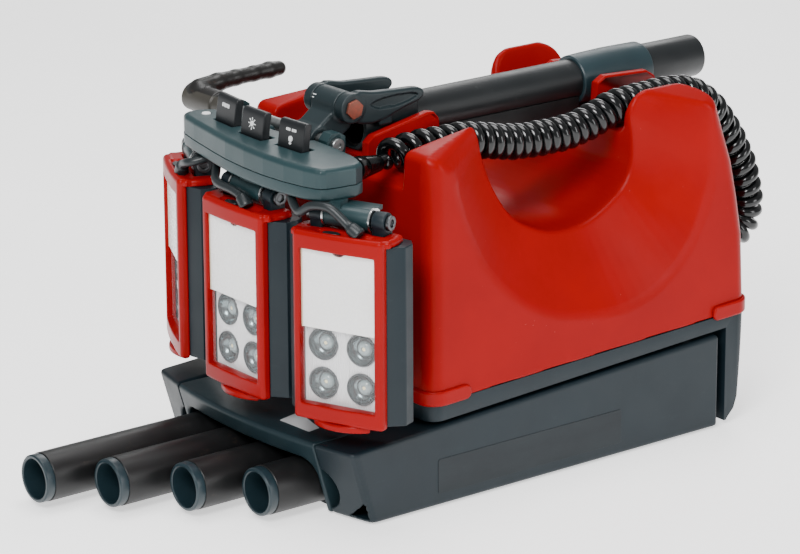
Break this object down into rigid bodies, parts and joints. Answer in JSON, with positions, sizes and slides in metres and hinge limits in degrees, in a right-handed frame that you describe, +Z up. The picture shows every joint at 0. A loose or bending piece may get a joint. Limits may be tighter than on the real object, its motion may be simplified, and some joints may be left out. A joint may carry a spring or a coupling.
{
  "type": "portable scene light",
  "caption": "Battery scene light in a carry case: three tilting lamp heads under a control console, clamped mast, stowed extension tubes and swing-out stabiliser arms.",
  "frame": {"origin": "on the rest face under the middle of the case", "axes": "+Z up, -Y towards the side the lamps face, +Y along the mast towards its plug-in end, +X to the right-hand side seen from behind the case"},
  "size_m": [0.3197, 0.6526, 0.317],
  "materials": {
    "red_plastic": "satin moulded red plastic, fine grain",
    "grey_plastic": "satin grey-green moulded plastic",
    "dark_plastic": "dark blue-grey moulded plastic",
    "black_plastic": "black glass-filled plastic",
    "tube_composite": "charcoal composite tube, lightly scuffed",
    "rubber": "black rubber",
    "cable": "glossy black polyurethane cable",
    "steel": "plain steel",
    "rusty_steel": "steel bolt with surface rust",
    "reflector": "bright reflector and lens optics",
    "window": "clear and frosted polycarbonate",
    "battery": "wrapped battery pack",
    "board": "circuit board"
  },
  "bodies": {
    "case": {"hood": "red_plastic", "corner_clips": "red_plastic", "saddle_front": "red_plastic", "saddle_rear": "red_plastic", "crossbar": "grey_plastic", "lower_housing": "dark_plastic", "base_tray": "dark_plastic", "tube_guides": "dark_plastic", "carry_grip": "dark_plastic", "cable_gland": "black_plastic", "arm_pivot_pins": "steel", "saddle_screws": "steel", "battery_pack": "battery", "power_board": "board", "mast_tube": "tube_composite", "mast_spigot": "tube_composite", "mast_collar": "grey_plastic", "mast_bracket": "grey_plastic", "fold_bolt": "rusty_steel", "coil_cable": "cable"},
    "arm_left": {"arm_left": "dark_plastic", "arm_left_pad": "rubber"},
    "arm_right": {"arm_right": "dark_plastic", "arm_right_pad": "rubber"},
    "knuckle": {"tilt_tongue": "grey_plastic", "tilt_rod": "steel"},
    "head": {"console_bottom": "grey_plastic", "console_top": "grey_plastic", "console_board": "board", "cable_relief": "rubber", "lamp_axles": "steel", "axle_rings": "steel", "lead_left": "cable", "lead_mid": "cable", "lead_right": "cable"},
    "lever": {"clamp_lever": "black_plastic", "lever_cap": "red_plastic"},
    "key_left": {"key_left": "grey_plastic"},
    "lamp_left": {"lamp_left_bezel": "red_plastic", "lamp_left_housing": "dark_plastic", "lamp_left_window": "window", "lamp_left_leds": "reflector"},
    "key_mid": {"key_mid": "grey_plastic"},
    "lamp_mid": {"lamp_mid_bezel": "red_plastic", "lamp_mid_housing": "dark_plastic", "lamp_mid_window": "window", "lamp_mid_leds": "reflector"},
    "key_right": {"key_right": "grey_plastic"},
    "lamp_right": {"lamp_right_bezel": "red_plastic", "lamp_right_housing": "dark_plastic", "lamp_right_window": "window", "lamp_right_leds": "reflector"},
    "tube_1": {"tube_1": "tube_composite", "tube_1_ferrule": "dark_plastic"},
    "tube_2": {"tube_2": "tube_composite", "tube_2_ferrule": "dark_plastic"},
    "tube_3": {"tube_3": "tube_composite", "tube_3_ferrule": "dark_plastic"},
    "tube_4": {"tube_4": "tube_composite", "tube_4_ferrule": "dark_plastic"}
  },
  "joints": [
    {"name": "fold", "type": "hinge", "parent": "case", "child": "knuckle", "pos_m": [0, -0.115, 0.305], "axis": [-1, 0, 0], "range_deg": [0, 90], "deforming": ["coil_cable"]},
    {"name": "head_tilt", "type": "hinge", "parent": "knuckle", "child": "head", "pos_m": [0, -0.14, 0.282], "axis": [-1, 0, 0], "range_deg": [0, 25]},
    {"name": "clamp", "type": "hinge", "parent": "knuckle", "child": "lever", "pos_m": [-0.13, -0.14, 0.282], "axis": [1, 0, 0], "range_deg": [-20, 60]},
    {"name": "lamp_left_tilt", "type": "hinge", "parent": "head", "child": "lamp_left", "pos_m": [-0.11054, -0.16753, 0.247], "axis": [-0.8988, 0.4384, 0], "range_deg": [-8, 45], "deforming": ["lead_left"]},
    {"name": "lamp_mid_tilt", "type": "hinge", "parent": "head", "child": "lamp_mid", "pos_m": [0, -0.191, 0.247], "axis": [-1, 0, 0], "range_deg": [-8, 45], "deforming": ["lead_mid"]},
    {"name": "lamp_right_tilt", "type": "hinge", "parent": "head", "child": "lamp_right", "pos_m": [0.11039, -0.17892, 0.247], "axis": [-0.9232, -0.3843, 0], "range_deg": [-8, 45], "deforming": ["lead_right"]},
    {"name": "key_left_rock", "type": "hinge", "parent": "head", "child": "key_left", "pos_m": [-0.058, -0.173, 0.28], "axis": [-0.9921, 0.1253, 0], "range_deg": [-6, 6], "stiffness_Nm_per_rad": 0.6},
    {"name": "key_mid_rock", "type": "hinge", "parent": "head", "child": "key_mid", "pos_m": [-0.011, -0.181, 0.28], "axis": [-0.9991, 0.0419, 0], "range_deg": [-6, 6], "stiffness_Nm_per_rad": 0.6},
    {"name": "key_right_rock", "type": "hinge", "parent": "head", "child": "key_right", "pos_m": [0.036, -0.178, 0.28], "axis": [-0.9986, -0.0523, 0], "range_deg": [-6, 6], "stiffness_Nm_per_rad": 0.6},
    {"name": "arm_right_swing", "type": "hinge", "parent": "case", "child": "arm_right", "pos_m": [0.113, 0.166, 0.04], "axis": [0, 0, 1], "range_deg": [0, 90]},
    {"name": "arm_left_swing", "type": "hinge", "parent": "case", "child": "arm_left", "pos_m": [-0.113, 0.166, 0.04], "axis": [0, 0, -1], "range_deg": [0, 90]},
    {"name": "tube_1_slide", "type": "slide", "parent": "case", "child": "tube_1", "axis": [0, -1, 0], "range_m": [-0.154, 0.16]},
    {"name": "tube_2_slide", "type": "slide", "parent": "case", "child": "tube_2", "axis": [0, -1, 0], "range_m": [-0.114, 0.2]},
    {"name": "tube_3_slide", "type": "slide", "parent": "case", "child": "tube_3", "axis": [0, -1, 0], "range_m": [-0.072, 0.24]},
    {"name": "tube_4_slide", "type": "slide", "parent": "case", "child": "tube_4", "axis": [0, -1, 0], "range_m": [-0.034, 0.28]}
  ]
}
